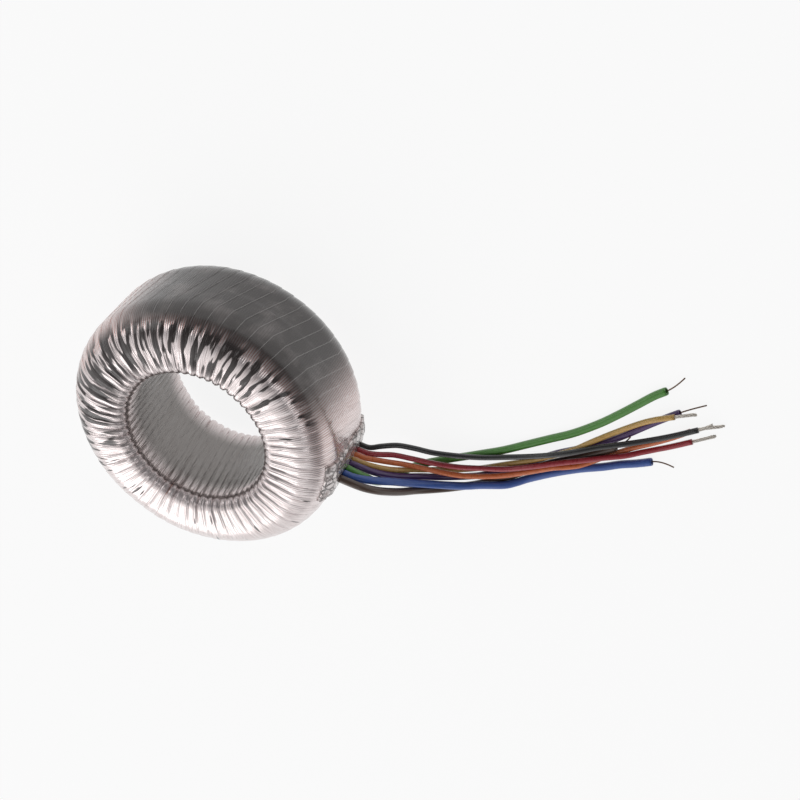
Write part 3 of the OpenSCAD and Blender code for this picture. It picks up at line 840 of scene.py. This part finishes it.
# %% Dress the hidden pieces
HIDDEN = {
    "core": coiled_steel(),
    "core_insulation": grained("crepe_paper", (0.72, 0.60, 0.40), 0.8, 400.0, 0.5),
    "primary_winding_1": wound_copper("thin_copper_1", (0.50, 0.17, 0.09), 520),
    "primary_winding_2": wound_copper("thin_copper_2", (0.55, 0.20, 0.10), 540),
    "winding_barrier": grained("barrier_film", (0.78, 0.72, 0.55), 0.25, 250.0, 0.2),
    "secondary_winding_1": wound_copper("thick_copper_1", (0.60, 0.24, 0.13), 330),
    "secondary_winding_2": wound_copper("thick_copper_2", (0.62, 0.26, 0.14), WIRES),
}
for name, material in HIDDEN.items():
    NODES[name].data.materials.clear()
    NODES[name].data.materials.append(material)
print("dressed CAD pieces:", list(HIDDEN))

# %% [markdown]
# The studio is plain: a pale floor, one wide soft lamp across the ring from the camera, two
# small ones at its sides, and a world that is brighter on the wide lamp's side. The floor glows
# nearly white for the camera and in reflections, and keeps some of the object's shadow.

# %% Floor
FLOOR_GLOW = 0.88


def pale_floor(size=4.0):
    """A large square that is mostly glow for the camera, and plain pale paint for the lamps."""
    mesh = bpy.data.meshes.new("floor")
    corner = size / 2
    mesh.from_pydata([(-corner, -corner, FLOOR), (corner, -corner, FLOOR), (corner, corner, FLOOR),
                      (-corner, corner, FLOOR)], [], [(0, 1, 2, 3)])
    material, tree, shader = new_material("pale_floor", Base_Color=(0.95, 0.95, 0.95, 1.0), Roughness=0.9)
    shader.inputs["Specular IOR Level"].default_value = 0.0
    rays = add(tree, "LightPath").outputs
    seen = sums(tree, "MAXIMUM", rays["Is Camera Ray"],
                sums(tree, "MAXIMUM", rays["Is Glossy Ray"], rays["Is Transmission Ray"]))
    glow = add(tree, "Emission", Color=(1.0, 1.0, 1.0, 1.0), Strength=1.0).outputs[0]
    mixed = add(tree, "MixShader", i0=sums(tree, "MULTIPLY", seen, FLOOR_GLOW), i1=shader.outputs[0], i2=glow)
    tree.links.new(mixed.outputs[0], tree.nodes["Material Output"].inputs["Surface"])
    mesh.materials.append(material)
    floor = bpy.data.objects.new("floor", mesh)
    bpy.context.scene.collection.objects.link(floor)


pale_floor()


# %% Soft lamps
def towards(azimuth, elevation):
    """The unit vector at that angle from +X towards +Y and that angle above the floor."""
    turn = math.radians(azimuth)
    rise = math.radians(elevation)
    return np.array([math.cos(turn) * math.cos(rise), math.sin(turn) * math.cos(rise), math.sin(rise)])


def soft_lamp(name, azimuth, elevation, distance, width, height, radiance):
    """A rectangular lamp that faces the ring. Its power is radiance x area x pi."""
    light = bpy.data.lights.new(name, "AREA")
    light.shape = "RECTANGLE"
    light.size = width
    light.size_y = height
    light.energy = radiance * width * height * math.pi
    way = towards(azimuth, elevation)
    lamp = bpy.data.objects.new(name, light)
    lamp.matrix_world = Matrix.Translation(distance * way) @ turned_frame((-way[1], way[0], 0.0), way)
    bpy.context.scene.collection.objects.link(lamp)


soft_lamp("key_lamp", -105, 32, 0.9, 0.7, 0.45, 1.35)
soft_lamp("fill_lamp", 165, 30, 1.0, 0.4, 0.4, 1.6)
soft_lamp("front_lamp", 20, 60, 1.0, 0.4, 0.3, 1.2)


# %% World
def studio_world():
    """A colour for each direction: bright on the key lamp's side and near the floor, dim elsewhere."""
    world = bpy.data.worlds.new("studio")
    world.use_nodes = True
    tree = world.node_tree
    way = add(tree, "TexCoord").outputs["Generated"]
    key_way = tuple(towards(-105, 25))
    to_key = add(tree, "VectorMath", {"operation": "DOT_PRODUCT"}, i0=way, i1=key_way).outputs["Value"]
    height = add(tree, "SeparateXYZ", Vector=way).outputs["Z"]
    low = ease(tree, height, 0.30, 0.06)
    level = sums(tree, "MAXIMUM", ease(tree, to_key, 0.25, 0.85), low)
    colour = blend(tree, level, (0.20, 0.20, 0.205, 1.0), (0.95, 0.95, 0.95, 1.0))
    tree.links.new(colour, tree.nodes["Background"].inputs["Color"])
    bpy.context.scene.world = world


studio_world()
